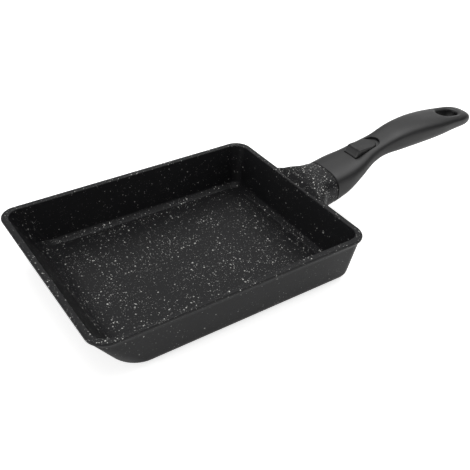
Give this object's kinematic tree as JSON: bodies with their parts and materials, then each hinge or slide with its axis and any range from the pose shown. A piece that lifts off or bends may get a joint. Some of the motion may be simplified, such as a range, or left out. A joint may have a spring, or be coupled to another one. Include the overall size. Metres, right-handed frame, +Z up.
{
  "type": "tamagoyaki pan",
  "caption": "Rectangular tamagoyaki pan, cast with one sloping end wall and a flared neck, with a slide-off moulded handle locked by a thumb button.",
  "frame": {"origin": "centre of the rim's length and width, on the underside that stands on the hob", "axes": "+X from the pan towards the handle, +Y across the pan, +Z up"},
  "size_m": [0.3684, 0.15, 0.0614],
  "materials": {
    "nonstick_cast": "cast aluminium under a matt black stone-speckle non-stick coating",
    "base_steel": "brushed stainless sheet",
    "handle_plastic": "moulded matt black thermoset",
    "cover_plastic": "moulded matt black plastic",
    "button_plastic": "moulded matt black plastic",
    "carrier_plastic": "moulded nylon",
    "sleeve_steel": "bright zinc-plated sheet",
    "spring_steel": "spring steel",
    "zinc_steel": "zinc-plated steel"
  },
  "bodies": {
    "pan": {"pan_body": "nonstick_cast", "induction_plate": "base_steel"},
    "handle": {"handle_body": "handle_plastic", "underside_cover": "cover_plastic", "cover_screws": "zinc_steel", "lock_sleeve": "sleeve_steel", "sleeve_screw": "zinc_steel", "latch_leaf": "spring_steel", "leaf_rivets": "zinc_steel", "return_spring": "spring_steel", "spring_guide_pin": "zinc_steel"},
    "button": {"release_button": "button_plastic", "button_carrier": "carrier_plastic", "button_screw": "zinc_steel"}
  },
  "joints": [
    {"name": "handle_slide", "type": "slide", "parent": "pan", "child": "handle", "axis": [0.9781, 0, 0.2079], "range_m": [0, 0.04]},
    {"name": "button_slide", "type": "slide", "parent": "handle", "child": "button", "axis": [0.9781, 0, 0.2079], "range_m": [0, 0.003], "stiffness_N_per_m": 400, "springref_m": -0.006, "deforming": ["latch_leaf", "return_spring"]}
  ]
}
